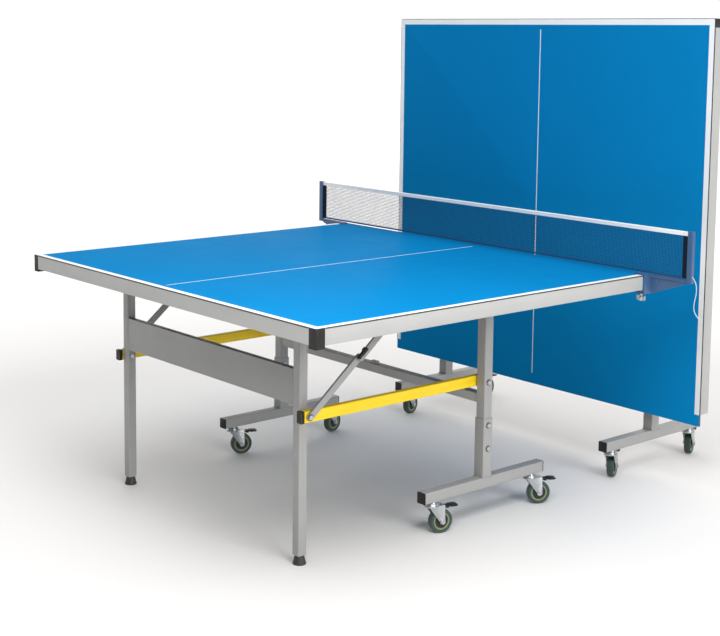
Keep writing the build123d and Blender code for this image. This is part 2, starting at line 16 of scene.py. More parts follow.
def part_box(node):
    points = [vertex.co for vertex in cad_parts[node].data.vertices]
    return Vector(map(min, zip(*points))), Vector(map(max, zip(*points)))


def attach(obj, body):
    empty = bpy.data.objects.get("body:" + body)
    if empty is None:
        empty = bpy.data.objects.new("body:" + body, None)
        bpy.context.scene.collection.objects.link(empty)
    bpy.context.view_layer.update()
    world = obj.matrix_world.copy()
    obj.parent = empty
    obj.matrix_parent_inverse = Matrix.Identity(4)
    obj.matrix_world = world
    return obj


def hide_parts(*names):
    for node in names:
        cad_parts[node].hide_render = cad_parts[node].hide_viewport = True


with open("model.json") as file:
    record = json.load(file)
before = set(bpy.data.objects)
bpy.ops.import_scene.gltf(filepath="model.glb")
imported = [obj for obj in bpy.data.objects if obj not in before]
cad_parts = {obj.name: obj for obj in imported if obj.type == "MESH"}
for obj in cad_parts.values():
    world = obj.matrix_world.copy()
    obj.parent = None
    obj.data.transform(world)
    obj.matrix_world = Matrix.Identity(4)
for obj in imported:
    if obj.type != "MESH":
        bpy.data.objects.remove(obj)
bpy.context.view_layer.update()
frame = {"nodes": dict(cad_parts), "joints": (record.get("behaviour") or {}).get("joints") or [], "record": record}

NODES = frame["nodes"]
JOINTS = {joint["name"]: joint for joint in frame["joints"]}

# Sizes that the pieces share, from the frame where it holds them
SURFACE_Z = 0.760
NET_EDGE_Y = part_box("near_board")[1].y
FAR_FACE_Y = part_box("far_board")[0].y
FAR_NET_EDGE_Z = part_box("far_board")[0].z
BOARD_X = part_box("near_board")[1].x
BOARD_END = NET_EDGE_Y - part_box("near_board")[0].y
HALF_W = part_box("near_top_frame")[1].x
HALF_LENGTH = NET_EDGE_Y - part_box("near_top_frame")[0].y
TONGUE = NET_EDGE_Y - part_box("near_top_frame")[1].y
EDGE_LINE = 0.020
CENTRE_LINE = 0.0035
PAINT = 0.00015
NET_LOW, NET_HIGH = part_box("net")
NET_Y = (NET_LOW.y + NET_HIGH.y) / 2

NEAR_PLACE = Matrix.Translation((0, NET_EDGE_Y, 0))
FAR_PLACE = Matrix(
    (
        (-1, 0, 0, 0),
        (0, 0, -1, FAR_FACE_Y + SURFACE_Z),
        (0, -1, 0, FAR_NET_EDGE_Z),
        (0, 0, 0, 1),
    )
)
HALVES = (("near", NEAR_PLACE), ("far", FAR_PLACE))


# ---------------------------------------------------------------- materials


class Shader:
    """A Principled material with a node tree that is easy to add to."""

    def __init__(self, name, color, roughness, metallic=0.0, **sockets):
        self.material = bpy.data.materials.new(name)
        self.material.use_nodes = True
        self.tree = self.material.node_tree
        self.bsdf = self.tree.nodes["Principled BSDF"]
        self.color = color
        self.bsdf.inputs["Base Color"].default_value = (*color, 1)
        self.bsdf.inputs["Roughness"].default_value = roughness
        self.bsdf.inputs["Metallic"].default_value = metallic
        for socket, value in sockets.items():
            self.bsdf.inputs[socket.replace("_", " ")].default_value = value
        self.coords = self.add("ShaderNodeTexCoord").outputs["Object"]

    def add(self, kind, **settings):
        node = self.tree.nodes.new(kind)
        for key, value in settings.items():
            setattr(node, key, value)
        return node

    def link(self, output, node, socket):
        self.tree.links.new(output, node.inputs[socket])

    def noise(self, scale, detail=3.0, roughness=0.55, stretch=(1, 1, 1)):
        mapping = self.add("ShaderNodeMapping")
        mapping.inputs["Scale"].default_value = stretch
        self.link(self.coords, mapping, "Vector")
        texture = self.add("ShaderNodeTexNoise")
        texture.inputs["Scale"].default_value = scale
        texture.inputs["Detail"].default_value = detail
        texture.inputs["Roughness"].default_value = roughness
        self.link(mapping.outputs["Vector"], texture, "Vector")
        return texture.outputs["Fac"]

    def spread(self, value, low, high, start=0.3, end=0.7):
        node = self.add("ShaderNodeMapRange", clamp=True)
        for socket, number in (("From Min", start), ("From Max", end), ("To Min", low), ("To Max", high)):
            node.inputs[socket].default_value = number
        self.link(value, node, "Value")
        return node.outputs["Result"]

    def vary_roughness(self, value, low, high):
        self.link(self.spread(value, low, high), self.bsdf, "Roughness")

    def tint(self, value, other, amount=1.0, start=0.3, end=0.7):
        """Mixes the base colour towards the other colour where the value is high."""
        ramp = self.spread(value, 0.0, amount, start, end)
        mix = self.add("ShaderNodeMix", data_type="RGBA")
        self.link(ramp, mix, "Factor")
        base = self.bsdf.inputs["Base Color"]
        if base.is_linked:
            self.link(base.links[0].from_socket, mix, "A")
        else:
            mix.inputs["A"].default_value = (*self.color, 1)
        mix.inputs["B"].default_value = (*other, 1)
        self.link(mix.outputs["Result"], self.bsdf, "Base Color")

    def bump(self, height, strength, distance):
        node = self.add("ShaderNodeBump")
        node.inputs["Strength"].default_value = strength
        node.inputs["Distance"].default_value = distance
        self.link(height, node, "Height")
        normal = self.bsdf.inputs["Normal"]
        if normal.is_linked:
            self.link(normal.links[0].from_socket, node, "Normal")
        self.link(node.outputs["Normal"], self.bsdf, "Normal")


def shade(color, factor):
    return tuple(min(1.0, channel * factor) for channel in color)


def laminate(name, color, face_axis):
    """Smooth resin laminate on the playing face, and a plain grey sealer on the other sides."""
    look = Shader(name, color, 0.42, Specular_IOR_Level=0.002)
    look.tint(look.noise(1.1, 2), shade(color, 1.12), 0.5)
    look.tint(look.noise(3.5, 4, 0.65), shade(color, 0.94), 0.5)
    look.vary_roughness(look.noise(5, 4, 0.65), 0.38, 0.48)
    look.bump(look.noise(1400, 2), 0.1, 0.00005)
    facing = look.add("ShaderNodeVectorMath", operation="DOT_PRODUCT")
    facing.inputs[1].default_value = face_axis
    look.tree.links.new(look.add("ShaderNodeTexCoord").outputs["Normal"], facing.inputs[0])
    look.tint(facing.outputs["Value"], SEALER, 1.0, 0.6, 0.4)
    return look.material


def powder_coat(name, color, roughness=0.42, grain=0.16):
    """Powder coat: a fine orange peel, slight unevenness and small scuffs."""
    look = Shader(name, color, roughness, 0.0, Specular_IOR_Level=0.5)
    look.tint(look.noise(6, 3), shade(color, 0.93), 0.8)
    look.tint(look.noise(160, 5, 0.75), shade(color, 0.82), 0.45, 0.62, 0.78)
    look.vary_roughness(look.noise(22, 3), roughness - 0.06, roughness + 0.08)
    look.bump(look.noise(900, 3), grain, 0.00012)
    return look.material


def metal(name, color, roughness, stretch=(1, 1, 1)):
    """Plated steel: uneven brightness, with fine drawing marks and dull spots."""
    look = Shader(name, color, roughness, 0.92)
    look.tint(look.noise(260, 4, 0.7, stretch), shade(color, 0.66), 0.7, 0.5, 0.75)
    look.vary_roughness(look.noise(120, 3, 0.6, stretch), roughness - 0.08, roughness + 0.12)
    look.bump(look.noise(1500, 2, 0.6, stretch), 0.18, 0.00008)
    return look.material


def plastic(name, color, roughness=0.5, grain=0.35):
    """Moulded plastic: spark-eroded grain, paler where it is rubbed."""
    look = Shader(name, color, roughness, Specular_IOR_Level=0.35)
    look.tint(look.noise(45, 4, 0.7), shade(color, 1.9), 0.4, 0.55, 0.8)
    look.vary_roughness(look.noise(60, 3), roughness - 0.07, roughness + 0.1)
    look.bump(look.noise(1100, 3, 0.7), grain, 0.00012)
    return look.material


def rubber(name, color):
    """Elastic tyre: matt, mottled, with dust in its grain."""
    look = Shader(name, color, 0.68, Sheen_Weight=0.12, Sheen_Roughness=0.5)
    look.tint(look.noise(75, 4, 0.7), shade(color, 1.45), 0.5, 0.45, 0.75)
    look.tint(look.noise(18, 3), shade(color, 0.72), 0.5)
    look.bump(look.noise(700, 3, 0.7), 0.4, 0.0002)
    return look.material


def cloth(name, color, threads, fuzz=0.15):
    """Plain-woven tape: two crossing sets of threads, with fuzz."""
    look = Shader(name, color, 0.85, Sheen_Weight=fuzz, Sheen_Roughness=0.4, Specular_IOR_Level=0.2)
    look.tint(look.noise(220, 4, 0.7), shade(color, 0.8), 0.5, 0.45, 0.75)
    waves = []
    for axis in ("X", "Z"):
        wave = look.add("ShaderNodeTexWave", wave_type="BANDS", bands_direction=axis)
        wave.inputs["Scale"].default_value = threads
        wave.inputs["Distortion"].default_value = 0.6
        look.link(look.coords, wave, "Vector")
        waves.append(wave.outputs["Fac"])
    weave = look.add("ShaderNodeMath", operation="MAXIMUM")
    for index, output in enumerate(waves):
        look.tree.links.new(output, weave.inputs[index])
    look.bump(weave.outputs["Value"], 0.5, 0.0003)
    return look.material


BLUE = (0.003, 0.20, 0.475)
SEALER = (0.13, 0.13, 0.128)
SILVER = (0.42, 0.425, 0.415)
GREY = (0.34, 0.34, 0.335)

MATERIALS = {
    "board_blue": laminate("laminate_lowered", BLUE, (0, 0, 1)),
    "apron_silver": powder_coat("powder_silver", SILVER, 0.38),
    "frame_grey": powder_coat("powder_grey", GREY, 0.4),
    "panel_grey": powder_coat("powder_panel", shade(GREY, 0.92), 0.45),
    "stay_steel": powder_coat("powder_stay", GREY, 0.4),
    "bar_yellow": powder_coat("powder_yellow", (0.95, 0.66, 0.006), 0.42),
    "net_post_blue": powder_coat("powder_post_blue", (0.045, 0.108, 0.23), 0.32),
    "black_plastic": plastic("plastic_black", (0.014, 0.0125, 0.0125), 0.5),
    "foot_plastic": plastic("plastic_foot", (0.04, 0.038, 0.037), 0.5),
    "pedal_black": plastic("plastic_pedal", (0.012, 0.012, 0.014), 0.42),
    "zinc": metal("plated_zinc", (0.52, 0.54, 0.56), 0.3),
    "wheel_rubber": rubber("rubber_tyre", (0.032, 0.062, 0.05)),
    "net_fabric": cloth("net_thread", (0.008, 0.024, 0.075), 900, 0.02),
    "cord_white": cloth("cord_braid", (0.62, 0.67, 0.72), 700),
}
FOLDED_LAMINATE = laminate("laminate_folded", BLUE, (0, -1, 0))
LINE_PAINT = powder_coat("line_paint", (0.86, 0.89, 0.9), 0.45, 0.1)
# Painted shade: the dark colour of the band that stands for the shaded gap at the board's edge
GAP_SHADE_PAINT = plastic("painted_gap_shade", (0.05, 0.042, 0.036), 0.5, 0.2)
HUB_RING = plastic("plastic_hub_ring", (0.20, 0.235, 0.125), 0.42, 0.15)
HUB_DARK = plastic("plastic_hub_dark", (0.035, 0.037, 0.036), 0.45, 0.2)
TAPE = cloth("net_tape", (0.9, 0.9, 0.88), 1100)
HEM = cloth("net_hem", (0.02, 0.075, 0.2), 1100, 0.04)
SLEEVE = cloth("net_sleeve", (0.004, 0.009, 0.022), 1100, 0.03)

SLOT_OF = {entry["node"]: entry["material_slot"] for entry in frame["record"]["subparts"]}


# ---------------------------------------------------------------- helpers


def finish_piece(obj, material, body, smooth_angle=35):
    """Gives a new piece its material, body and slot, and smooths its gentle edges."""
    obj.data.materials.clear()
    obj.data.materials.append(material)
    if obj.type == "MESH":
        obj.data.shade_smooth()
        obj.data.set_sharp_from_angle(angle=radians(smooth_angle))
    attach(obj, body)
    return obj


def from_bmesh(name, mesh, place=None):
    """A new object from a bmesh, moved into the row frame."""
    if place is not None:
        mesh.transform(place)
    bmesh.ops.recalc_face_normals(mesh, faces=mesh.faces)
    data = bpy.data.meshes.new(name)
    mesh.to_mesh(data)
    mesh.free()
    obj = bpy.data.objects.new(name, data)
    bpy.context.scene.collection.objects.link(obj)
    return obj


def bevelled(obj, width, segments=2, angle=30):
    modifier = obj.modifiers.new("edges", "BEVEL")
    modifier.width = width
    modifier.segments = segments
    modifier.limit_method = "ANGLE"
    modifier.angle_limit = radians(angle)
    modifier.harden_normals = True
    return obj


def add_box(mesh, low, high):
    """Adds a box between two corners to the bmesh."""
    centre = [(a + b) / 2 for a, b in zip(low, high)]
    size = [b - a for a, b in zip(low, high)]
    place = Matrix.Translation(centre) @ Matrix.Diagonal((*size, 1))
    bmesh.ops.create_cube(mesh, size=1, matrix=place)


def add_lathe(mesh, profile, place, steps=48):
    """Adds a turned shape: profile is (radius, height) pairs round the local Z axis."""
    rings = []
    for radius, height in profile:
        if radius == 0:
            rings.append([mesh.verts.new(place @ Vector((0, 0, height)))])
            continue
        ring = []
        for step in range(steps):
            angle = 2 * pi * step / steps
            ring.append(mesh.verts.new(place @ Vector((radius * cos(angle), radius * sin(angle), height))))
        rings.append(ring)
    for one, two in zip(rings, rings[1:]):
        for step in range(steps):
            after = (step + 1) % steps
            lower = [one[step % len(one)], one[after % len(one)]]
            upper = [two[after % len(two)], two[step % len(two)]]
            corners = list(dict.fromkeys(lower + upper))
            if len(corners) >= 3:
                mesh.faces.new(corners)


def mirrored(points):
    """A closed profile from its lower half, repeated above the middle plane."""
    return [*points, *((radius, -height) for radius, height in reversed(points)), points[0]]


def arc(centre, radius, start, end, steps):
    """Points of an arc in a profile, angles in degrees."""
    points = []
    for step in range(steps + 1):
        angle = radians(start + (end - start) * step / steps)
        points.append((centre[0] + radius * cos(angle), centre[1] + radius * sin(angle)))
    return points


# ---------------------------------------------------------------- carried-over CAD nodes

SHEET_METAL = ("top_frame", "kick_panel", "corner_caps", "castor_fork")


def dress_cad_nodes():
    """A material for every CAD node, flat faces made whole, eased corners and smooth shading."""
    for name, node in NODES.items():
        node.data.materials.clear()
        material = FOLDED_LAMINATE if name == "far_board" else MATERIALS[SLOT_OF[name]]
        node.data.materials.append(material)
        weld = node.modifiers.new("weld", "WELD")
        weld.merge_threshold = 1e-6
        flat = node.modifiers.new("flat", "DECIMATE")
        flat.decimate_type = "DISSOLVE"
        flat.angle_limit = radians(0.5)
        width = 0.0004 if name.endswith(SHEET_METAL) else 0.0007
        bevelled(node, width, 2, 40)
        node.data.shade_smooth()


# ---------------------------------------------------------------- playing surface


def edge_line_outline():
    """The white line round three sides: the two sides and the play end, with rounded corners."""
    inset, corner = 0.0003, 0.0045
    edge, inner, far_end = BOARD_X - inset, BOARD_X - EDGE_LINE, -BOARD_END + inset
    inner_end = far_end + EDGE_LINE
    right = [(edge, -TONGUE)]
    right += arc((edge - corner, far_end + corner), corner, 0, -90, 6)
    left = [(-x, y) for x, y in reversed(right)]
    inside = [(-inner, -TONGUE), (-inner, inner_end), (inner, inner_end), (inner, -TONGUE)]
    return right + left + inside


def make_lines(half, place):
    """The white edge lines, and the centre line that starts short of the end line."""
    mesh = bmesh.new()
    clear, centre_gap = 0.00002, 0.018
    low, high = SURFACE_Z + clear, SURFACE_Z + PAINT
    face = mesh.faces.new([mesh.verts.new((x, y, low)) for x, y in edge_line_outline()])
    raised = bmesh.ops.extrude_face_region(mesh, geom=[face])["geom"]
    lifted = [item for item in raised if isinstance(item, bmesh.types.BMVert)]
    bmesh.ops.translate(mesh, verts=lifted, vec=(0, 0, high - low))
    start, end = -BOARD_END + EDGE_LINE + centre_gap, -TONGUE
    add_box(mesh, (-CENTRE_LINE / 2, start, low), (CENTRE_LINE / 2, end, high))
    lines = from_bmesh(f"{half}_lines", mesh, place)
    finish_piece(lines, LINE_PAINT, f"{half}_top")


def make_painted_gap_shade(half, place):
    """A dark band of painted shade that stands for the shaded gap between the board's edge and the aprons, and
    shows as a thin band over the aprons.
    """
    out, inward, corner = 0.0003, 0.002, 0.031
    low, high = SURFACE_Z - 0.0034, SURFACE_Z - 0.0001
    mesh = bmesh.new()
    for side in (-1, 1):
        x = sorted((side * (HALF_W - inward), side * (HALF_W + out)))
        add_box(mesh, (x[0], -HALF_LENGTH + corner, low), (x[1], -TONGUE, high))
    add_box(
        mesh,
        (-HALF_W + corner, -HALF_LENGTH - out, low),
        (HALF_W - corner, -HALF_LENGTH + inward, high),
    )
    band = from_bmesh(f"{half}_gap_shade_band", mesh, place)
    finish_piece(band, GAP_SHADE_PAINT, f"{half}_top")


# ---------------------------------------------------------------- fold bars


def make_bar_caps(half):
    """Push-on end caps on each fold bar: a deep one past the leg, a shallow one by the post's nut."""
    low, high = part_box(f"{half}_fold_bars")
    proud, bar_w, by_leg, by_post = 0.0005, 0.020, 0.013, 0.005
    mesh = bmesh.new()
    for side in (-1, 1):
        x = sorted((side * (high.x - bar_w - proud), side * (high.x + proud)))
        if half == "near":
            for y in ((low.y - proud, low.y + by_leg), (high.y - by_post, high.y + proud)):
                add_box(mesh, (x[0], y[0], low.z - proud), (x[1], y[1], high.z + proud))
        else:
            for z in ((low.z - proud, low.z + by_post), (high.z - by_leg, high.z + proud)):
                add_box(mesh, (x[0], low.y - proud, z[0]), (x[1], high.y + proud, z[1]))
    caps = bevelled(from_bmesh(f"{half}_bar_caps", mesh), 0.0018, 3)
    finish_piece(caps, MATERIALS["black_plastic"], f"{half}_bars")


# ---------------------------------------------------------------- weld beads

POST_X, SLEEVE_HALF = 0.521, 0.0205
BEAD_R, BEAD_STEP, BEAD_SINK = 0.0021, 0.0026, 0.0006


def make_weld_beads(half):
    """Rippled weld beads round the foot of each post sleeve."""
    rng = random.Random(half)
    low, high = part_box(f"{half}_trolley_bolts")
    y, z = (low.y + high.y) / 2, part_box(f"{half}_rail_caps")[1].z
    shapes = []
    ripples = round(2 * SLEEVE_HALF / BEAD_STEP)
    for side in (-1, 1):
        for ripple in range(ripples):
            along = -SLEEVE_HALF + 2 * SLEEVE_HALF * ripple / ripples
            for x_off, y_off in ((along, -SLEEVE_HALF), (-along, SLEEVE_HALF)):
                spot = Vector((side * POST_X + x_off, y + y_off, z - BEAD_SINK))
                shapes.append(knot_shape(spot, BEAD_R * rng.uniform(0.85, 1.15)))
    beads = joined(f"{half}_weld_beads", shapes)
    finish_piece(beads, MATERIALS["frame_grey"], f"{half}_trolley", 80)


# ---------------------------------------------------------------- bolt washers

POST_BOLTS = ((0.541, 0.229), (0.541, 0.303), (0.5385, 0.440))
LEG_BOLT_X, LEG_BOLT_UP = 0.5092, 0.010
WASHER_R, WASHER_T = 0.0095, 0.0012


def add_disc(mesh, x, y, z, radius, thick):
    """Adds a disc whose axis is along X, on both sides of the table."""
    for side in (-1, 1):
        turn = Matrix.Translation((side * (x + thick / 2), y, z)) @ Matrix.Rotation(pi / 2, 4, "Y")
        bmesh.ops.create_cone(
            mesh, cap_ends=True, segments=32, radius1=radius, radius2=radius, depth=thick, matrix=turn
        )


def make_washers(half):
    """Dark nylon washers round the bolt heads on the posts, and collars on the stays' bolts."""
    low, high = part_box(f"{half}_trolley_bolts")
    mesh = bmesh.new()
    for x, z in POST_BOLTS:
        add_disc(mesh, x, (low.y + high.y) / 2, z, WASHER_R, WASHER_T)
    washers = bevelled(from_bmesh(f"{half}_post_washers", mesh), 0.0003, 2, 40)
    finish_piece(washers, MATERIALS["black_plastic"], f"{half}_trolley")

    low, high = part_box(f"{half}_leg_bolts")
    mesh = bmesh.new()
    add_disc(mesh, LEG_BOLT_X, (low.y + high.y) / 2, low.z + LEG_BOLT_UP, WASHER_R, WASHER_T)
    collars = bevelled(from_bmesh(f"{half}_stay_collars", mesh), 0.0003, 2, 40)
    finish_piece(collars, MATERIALS["black_plastic"], f"{half}_legs")


# ---------------------------------------------------------------- castors

TYRE_R, RIM_R, TYRE_HALF, SHOULDER = 0.0375, 0.0275, 0.012, 0.004
TREAD_SHARE = 0.35  # the flat part of the tread, as a share of the tyre's width
# Round the corner of the tyre's inner lip: out from the rim, and in from the side
TYRE_LIP = ((0.0, 0.0015), (0.001, 0.0005), (0.003, 0.0))
# Half of the rim's and of the hub's section: radius, and height from the wheel's middle plane
RIM_SECTION = ((0.022, -0.0088), (0.0225, -0.0098), (RIM_R - 0.0005, -0.0103), (RIM_R + 0.0006, -0.0094))
HUB_BOSS = ((0.0044, -0.0128), (0.0085, -0.0128), (0.0095, -0.0118))
HUB_WEB = ((0.0105, -0.0075), (0.0212, -0.0065), (0.0223, -0.0085))
SPOKES, SPOKE_AT, SPOKE_SIZE = 6, 0.0155, (0.0125, 0.0022, 0.0165)
HEAD_HEIGHT = 0.0165  # from the lower face of the swivel head to the base rail
NUT_AT, NUT_R, NUT_TIP_R, NUT_T = 0.0192, 0.0082, 0.0074, 0.0052


def wheel_place(joint):
    """The wheel's centre, with its axle along local Z."""
    axis = Vector(joint["axis"]).normalized()
    up = Vector((0, 0, 1))
    side = up.cross(axis)
    turn = Matrix((side, up, axis)).transposed().to_4x4()
    return Matrix.Translation(Vector(joint["pos_m"])) @ turn


def make_wheel(castor):
    """The tyre, which stands for the CAD wheel, and the rim and spoked hub inside it."""
    place = wheel_place(JOINTS[f"{castor}_wheel_spin"])
    body = f"{castor}_wheel"
    profile = [(RIM_R + out, -TYRE_HALF + inward) for out, inward in TYRE_LIP]
    profile += arc((TYRE_R - SHOULDER, -TYRE_HALF + SHOULDER), SHOULDER, -90, -12, 6)
    profile.append((TYRE_R, -TYRE_HALF * TREAD_SHARE))
    tyre = bmesh.new()
    add_lathe(tyre, mirrored(profile), place, 64)
    tyre_obj = from_bmesh(f"{castor}_tyre", tyre)
    finish_piece(tyre_obj, MATERIALS["wheel_rubber"], body)
    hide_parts(f"{castor}_castor_wheel")

    ring = bmesh.new()
    add_lathe(ring, mirrored(RIM_SECTION), place, 64)
    finish_piece(from_bmesh(f"{castor}_rim", ring), HUB_RING, body)

    hub = bmesh.new()
    add_lathe(hub, mirrored(HUB_BOSS + HUB_WEB), place, 48)
    for spoke in range(SPOKES):
        turn = place @ Matrix.Rotation(2 * pi * spoke / SPOKES, 4, "Z")
        corners = bmesh.ops.create_cube(hub, size=1)["verts"]
        shape = Matrix.Translation((SPOKE_AT, 0, 0)) @ Matrix.Diagonal((*SPOKE_SIZE, 1))
        bmesh.ops.transform(hub, matrix=turn @ shape, verts=corners)
    finish_piece(from_bmesh(f"{castor}_hub", hub), HUB_DARK, body)


def make_swivel_head(castor):
    """The pressed bearing head over the fork, with its race and the axle's nut and bolt head."""
    stem = Vector(JOINTS[f"{castor}_swivel"]["pos_m"])
    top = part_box(f"{castor.split('_')[0]}_base_rails")[0].z
    place = Matrix.Translation((stem.x, stem.y, 0))
    head = bmesh.new()
    low = top - HEAD_HEIGHT
    profile = [(0.0, low), (0.0235, low), (0.0242, low + 0.0012)]
    profile += [(0.0242, low + 0.0042), (0.0232, low + 0.0052)]
    profile += [(0.0215, low + 0.0056), (0.0215, low + 0.0066), (0.0208, low + 0.0072)]
    profile += arc((0.0158, low + 0.0076), 0.005, 0, 80, 6) + [(0.009, low + 0.0142), (0, low + 0.0142)]
    add_lathe(head, profile, place, 48)
    wheel = wheel_place(JOINTS[f"{castor}_wheel_spin"])
    for side in (-1, 1):
        bmesh.ops.create_cone(
            head,
            cap_ends=True,
            segments=6,
            radius1=NUT_R,
            radius2=NUT_TIP_R,
            depth=NUT_T,
            matrix=wheel @ Matrix.Translation((0, 0, side * NUT_AT)),
        )
    obj = bevelled(from_bmesh(f"{castor}_swivel_head", head), 0.0004, 2, 40)
    finish_piece(obj, MATERIALS["zinc"], f"{castor}_castor")


# ---------------------------------------------------------------- net set

TAPE_H, HEM_H, SLEEVE_W = 0.014, 0.006, 0.020
CELL, THREAD, UNEVEN = 0.0056, 0.00135, 0.0005


def net_wave(x, z):
    """How far the slack cloth stands off its plane."""
    height = (z - NET_LOW.z) / (NET_HIGH.z - NET_LOW.z)
    slack = 0.0011 * sin(pi * height)
    return slack * (0.6 * sin(9.3 * x + 1.1) + 0.4 * sin(23.0 * x + 5 * height))


def thread_shape(points, radius, across):
    """Vertices and faces of a square-section thread along the points."""
    verts, faces = [], []
    up = across.normalized() * radius
    for index, point in enumerate(points):
        ahead = points[min(index + 1, len(points) - 1)] - points[max(index - 1, 0)]
        side = ahead.cross(across).normalized() * radius
        verts += [point + offset for offset in (side, up, -side, -up)]
    for ring in range(len(points) - 1):
        for index in range(4):
            after = (index + 1) % 4
            one, two = 4 * ring, 4 * ring + 4
            faces.append((one + index, one + after, two + after, two + index))
    last = len(verts) - 4
    faces += [(3, 2, 1, 0), (last, last + 1, last + 2, last + 3)]
    return verts, faces


def knot_shape(spot, size):
    """Vertices and faces of a small eight-sided knot."""
    offsets = ((size, 0, 0), (0, size, 0), (-size, 0, 0), (0, -size, 0), (0, 0, size), (0, 0, -size))
    verts = [spot + Vector(offset) for offset in offsets]
    faces = []
    for index in range(4):
        after = (index + 1) % 4
        faces += [(index, after, 4), (after, index, 5)]
    return verts, faces


def joined(name, shapes):
    """One object from many (vertices, faces) shapes."""
    verts, faces = [], []
    for shape_verts, shape_faces in shapes:
        first = len(verts)
        verts += shape_verts
        faces += [tuple(first + index for index in face) for face in shape_faces]
    data = bpy.data.meshes.new(name)
    data.from_pydata(verts, [], faces)
    obj = bpy.data.objects.new(name, data)
    bpy.context.scene.collection.objects.link(obj)
    return obj


def make_net_mesh():
    """Knotted mesh: crossing threads with a knot at each crossing."""
    rng = random.Random(7)
    in_sleeve, in_band = 0.004, 0.003
    left, right = NET_LOW.x + in_sleeve, NET_HIGH.x - in_sleeve
    low, high = NET_LOW.z + HEM_H - in_band, NET_HIGH.z - TAPE_H + in_band
    columns = round((right - left) / CELL)
    rows = round((high - low) / CELL)
    spots = []
    for column in range(columns + 1):
        line = []
        for row in range(rows + 1):
            x = left + (right - left) * column / columns + rng.uniform(-1, 1) * UNEVEN
            z = low + (high - low) * row / rows + rng.uniform(-1, 1) * UNEVEN
            line.append(Vector((x, NET_Y + net_wave(x, z), z)))
        spots.append(line)
    out = Vector((0, 1, 0))
    shapes = [thread_shape(line, THREAD / 2, out) for line in spots]
    for row in range(rows + 1):
        shapes.append(thread_shape([line[row] for line in spots], THREAD / 2, out))
    for line in spots[1:-1]:
        shapes += [knot_shape(spot, THREAD * rng.uniform(0.75, 1.0)) for spot in line[1:-1]]
    return finish_piece(joined("net_mesh", shapes), MATERIALS["net_fabric"], "near_top", 80)


def add_band(mesh, x_span, z_span, half_thick, bulge=0.0, bulge_at=1.0, columns=240, rows=6):
    """A closed flat band of cloth in the net's plane, following its waves, thicker at one edge."""
    edge_share, bulge_slope = 0.55, 3.0
    rings = []
    for column in range(columns + 1):
        x = x_span[0] + (x_span[1] - x_span[0]) * column / columns
        front, back = [], []
        for row in range(rows + 1):
            share = row / rows
            z = z_span[0] + (z_span[1] - z_span[0]) * share
            thick = half_thick + bulge * max(0.0, 1 - abs(share - bulge_at) * bulge_slope)
            if row in (0, rows):
                thick *= edge_share
            middle = NET_Y + net_wave(x, z)
            front.append(mesh.verts.new((x, middle - thick, z)))
            back.append(mesh.verts.new((x, middle + thick, z)))
        rings.append(front + back[::-1])
    count = len(rings[0])
    for one, two in zip(rings, rings[1:]):
        for index in range(count):
            after = (index + 1) % count
            mesh.faces.new((one[index], one[after], two[after], two[index]))
    mesh.faces.new(rings[0])
    mesh.faces.new(reversed(rings[-1]))


def make_net_bands():
    """The white top tape, the narrow bottom hem and the dark sleeves at both ends."""
    tape = bmesh.new()
    top = (NET_HIGH.z - TAPE_H, NET_HIGH.z)
    add_band(tape, (NET_LOW.x, NET_HIGH.x), top, 0.0011, 0.0013, 0.82)
    tape_obj = from_bmesh("net_top_tape", tape)
    finish_piece(tape_obj, TAPE, "near_top", 60)

    hem = bmesh.new()
    add_band(hem, (NET_LOW.x, NET_HIGH.x), (NET_LOW.z, NET_LOW.z + HEM_H), 0.0009, 0.0006, 0.1)
    hem_obj = from_bmesh("net_bottom_hem", hem)
    finish_piece(hem_obj, HEM, "near_top", 60)

    sleeves = bmesh.new()
    between = (NET_LOW.z + 0.001, NET_HIGH.z - TAPE_H - 0.0005)
    add_band(sleeves, (NET_LOW.x, NET_LOW.x + SLEEVE_W), between, 0.0016, 0, 1, 4, 24)
    add_band(sleeves, (NET_HIGH.x - SLEEVE_W, NET_HIGH.x), between, 0.0016, 0, 1, 4, 24)
    sleeve_obj = from_bmesh("net_end_sleeves", sleeves)
    finish_piece(sleeve_obj, SLEEVE, "near_top", 60)
    return [tape_obj, hem_obj, sleeve_obj]


def make_net():
    net = make_net_mesh()
    bands = make_net_bands()
    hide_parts("net")


def make_post_caps():
    """Rounded caps on the net posts."""
    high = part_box("net_posts")[1]
    post_w, half_depth, proud = 0.018, 0.0076, 0.0006
    bottom, top = high.z - 0.012, high.z - 0.0002
    caps = bmesh.new()
    for side in (-1, 1):
        x = sorted((side * high.x, side * (high.x - post_w)))
        low_corner = (x[0] - proud, NET_Y - half_depth, bottom)
        high_corner = (x[1] + proud, NET_Y + half_depth, top)
        add_box(caps, low_corner, high_corner)
    obj = bevelled(from_bmesh("net_post_caps", caps), 0.0035, 4)
    finish_piece(obj, MATERIALS["net_post_blue"], "near_top")


# The same route as the CAD cord's, from the net plane at the near half's net edge
CORD_ROUTE = (
    (0.920, 0.002, 0.772),
    (0.932, 0.002, 0.761),
    (0.938, 0.0025, 0.741),
    (0.937, 0.002, 0.716),
    (0.931, 0.0015, 0.692),
    (0.930, 0.002, 0.669),
    (0.940, 0.0025, 0.652),
    (0.953, 0.003, 0.641),
)
CORD_D = 0.0025
# The knot: a coil of two turns round a core at the cord's tip
KNOT_TURNS, KNOT_STEPS, KNOT_START, KNOT_LENGTH = 2, 40, 0.0005, 0.0042
COIL_R, STRAND_R, CORE_AT, CORE_R = 0.0017, 0.0011, 0.0026, 0.0023


